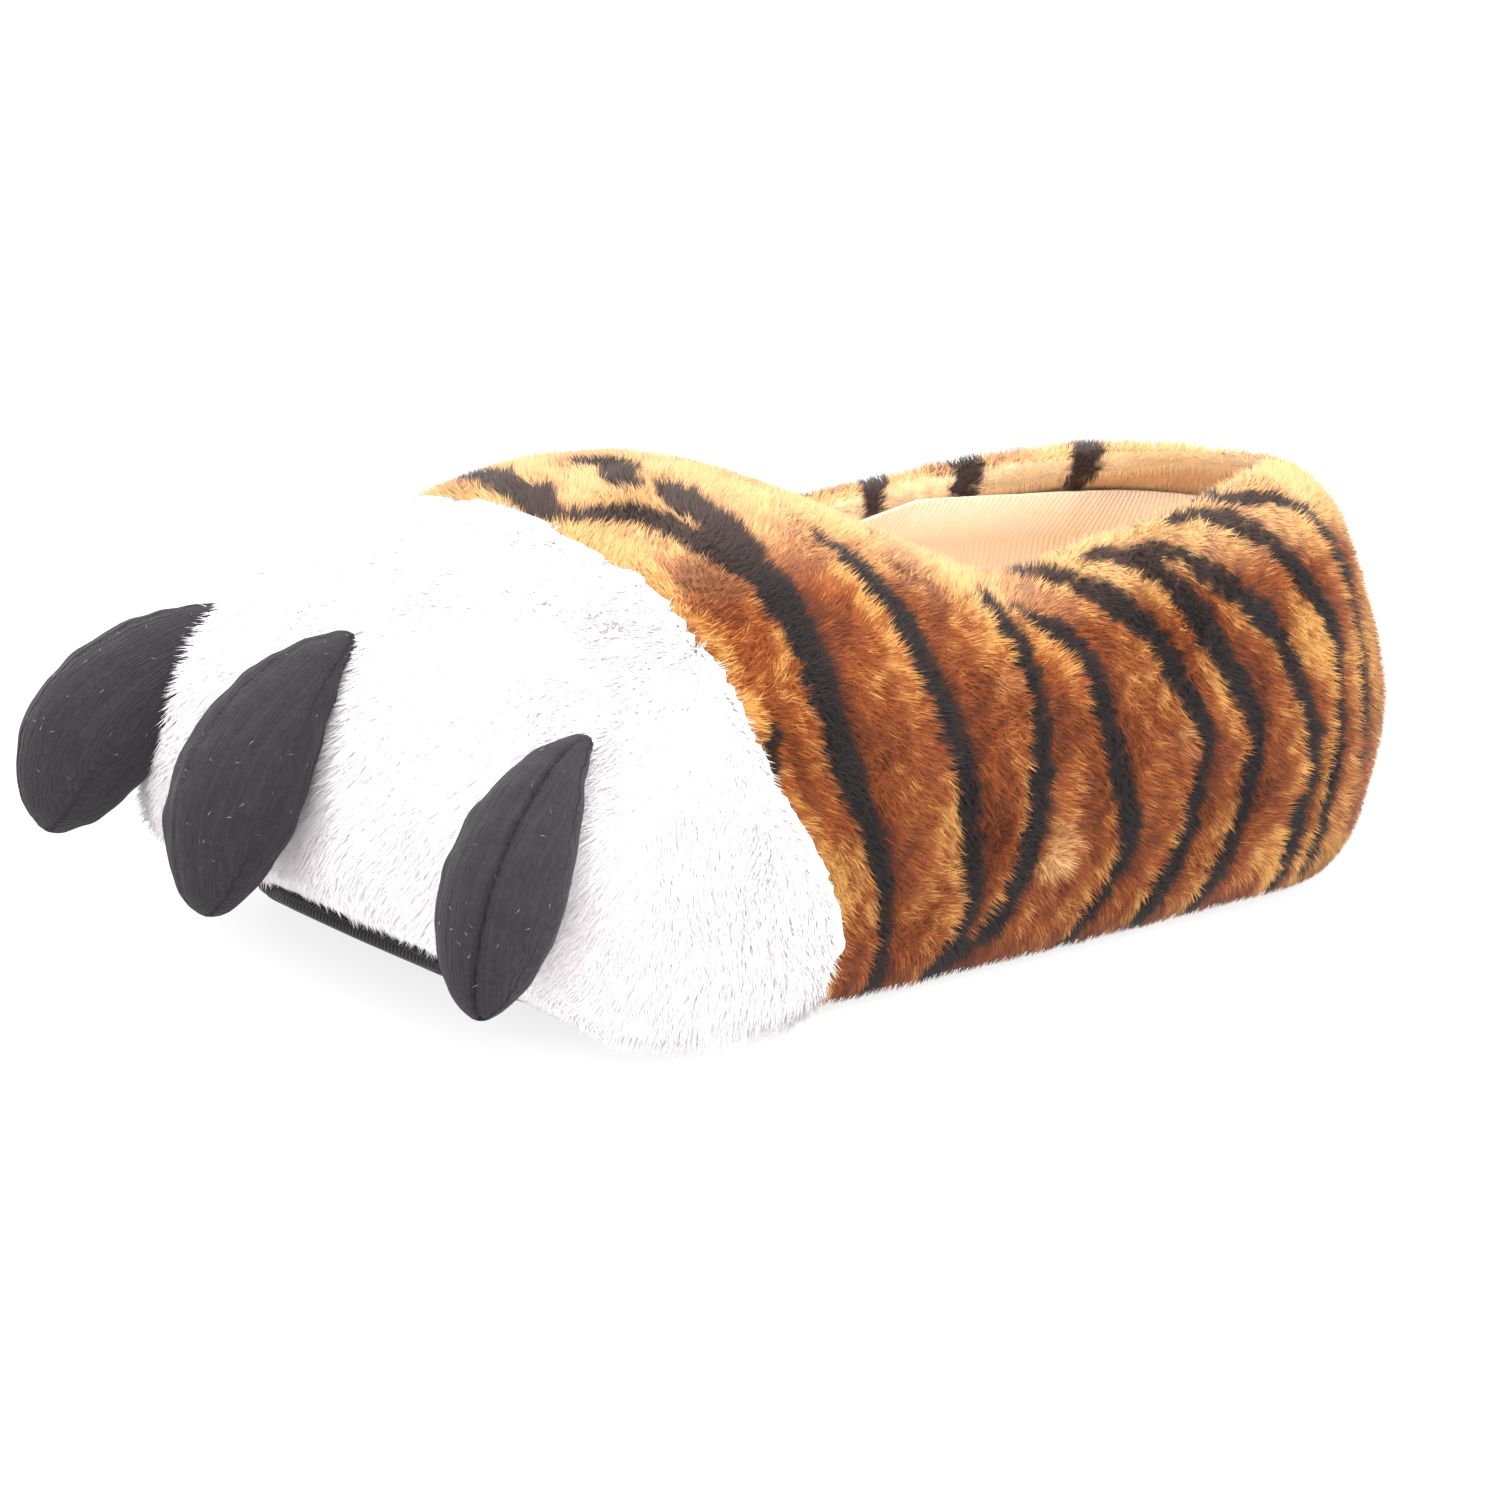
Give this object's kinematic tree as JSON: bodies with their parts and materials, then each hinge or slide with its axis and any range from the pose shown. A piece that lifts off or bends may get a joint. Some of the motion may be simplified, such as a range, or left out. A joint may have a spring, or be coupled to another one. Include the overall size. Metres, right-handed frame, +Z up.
{
  "type": "animal slipper",
  "caption": "Plush house slipper shaped as a tiger paw: striped furry upper with a rolled collar, stuffed white toe, dark claws and a soft flat sole",
  "frame": {"origin": "on the floor under the middle of the sole", "axes": "+X to the toe, +Y to the shoe's left, +Z up"},
  "size_m": [0.3082, 0.162, 0.1],
  "materials": {
    "outsole": "dark grip cloth",
    "insole": "ribbed knit",
    "upper": "short pile plush with dark stripes",
    "toe_cap": "white pile plush",
    "claw": "brushed knit"
  },
  "bodies": {
    "root": {"outsole": "outsole", "insole": "insole", "upper": "upper", "toe_cap": "toe_cap", "claw_left": "claw", "claw_middle": "claw", "claw_right": "claw"}
  },
  "joints": []
}
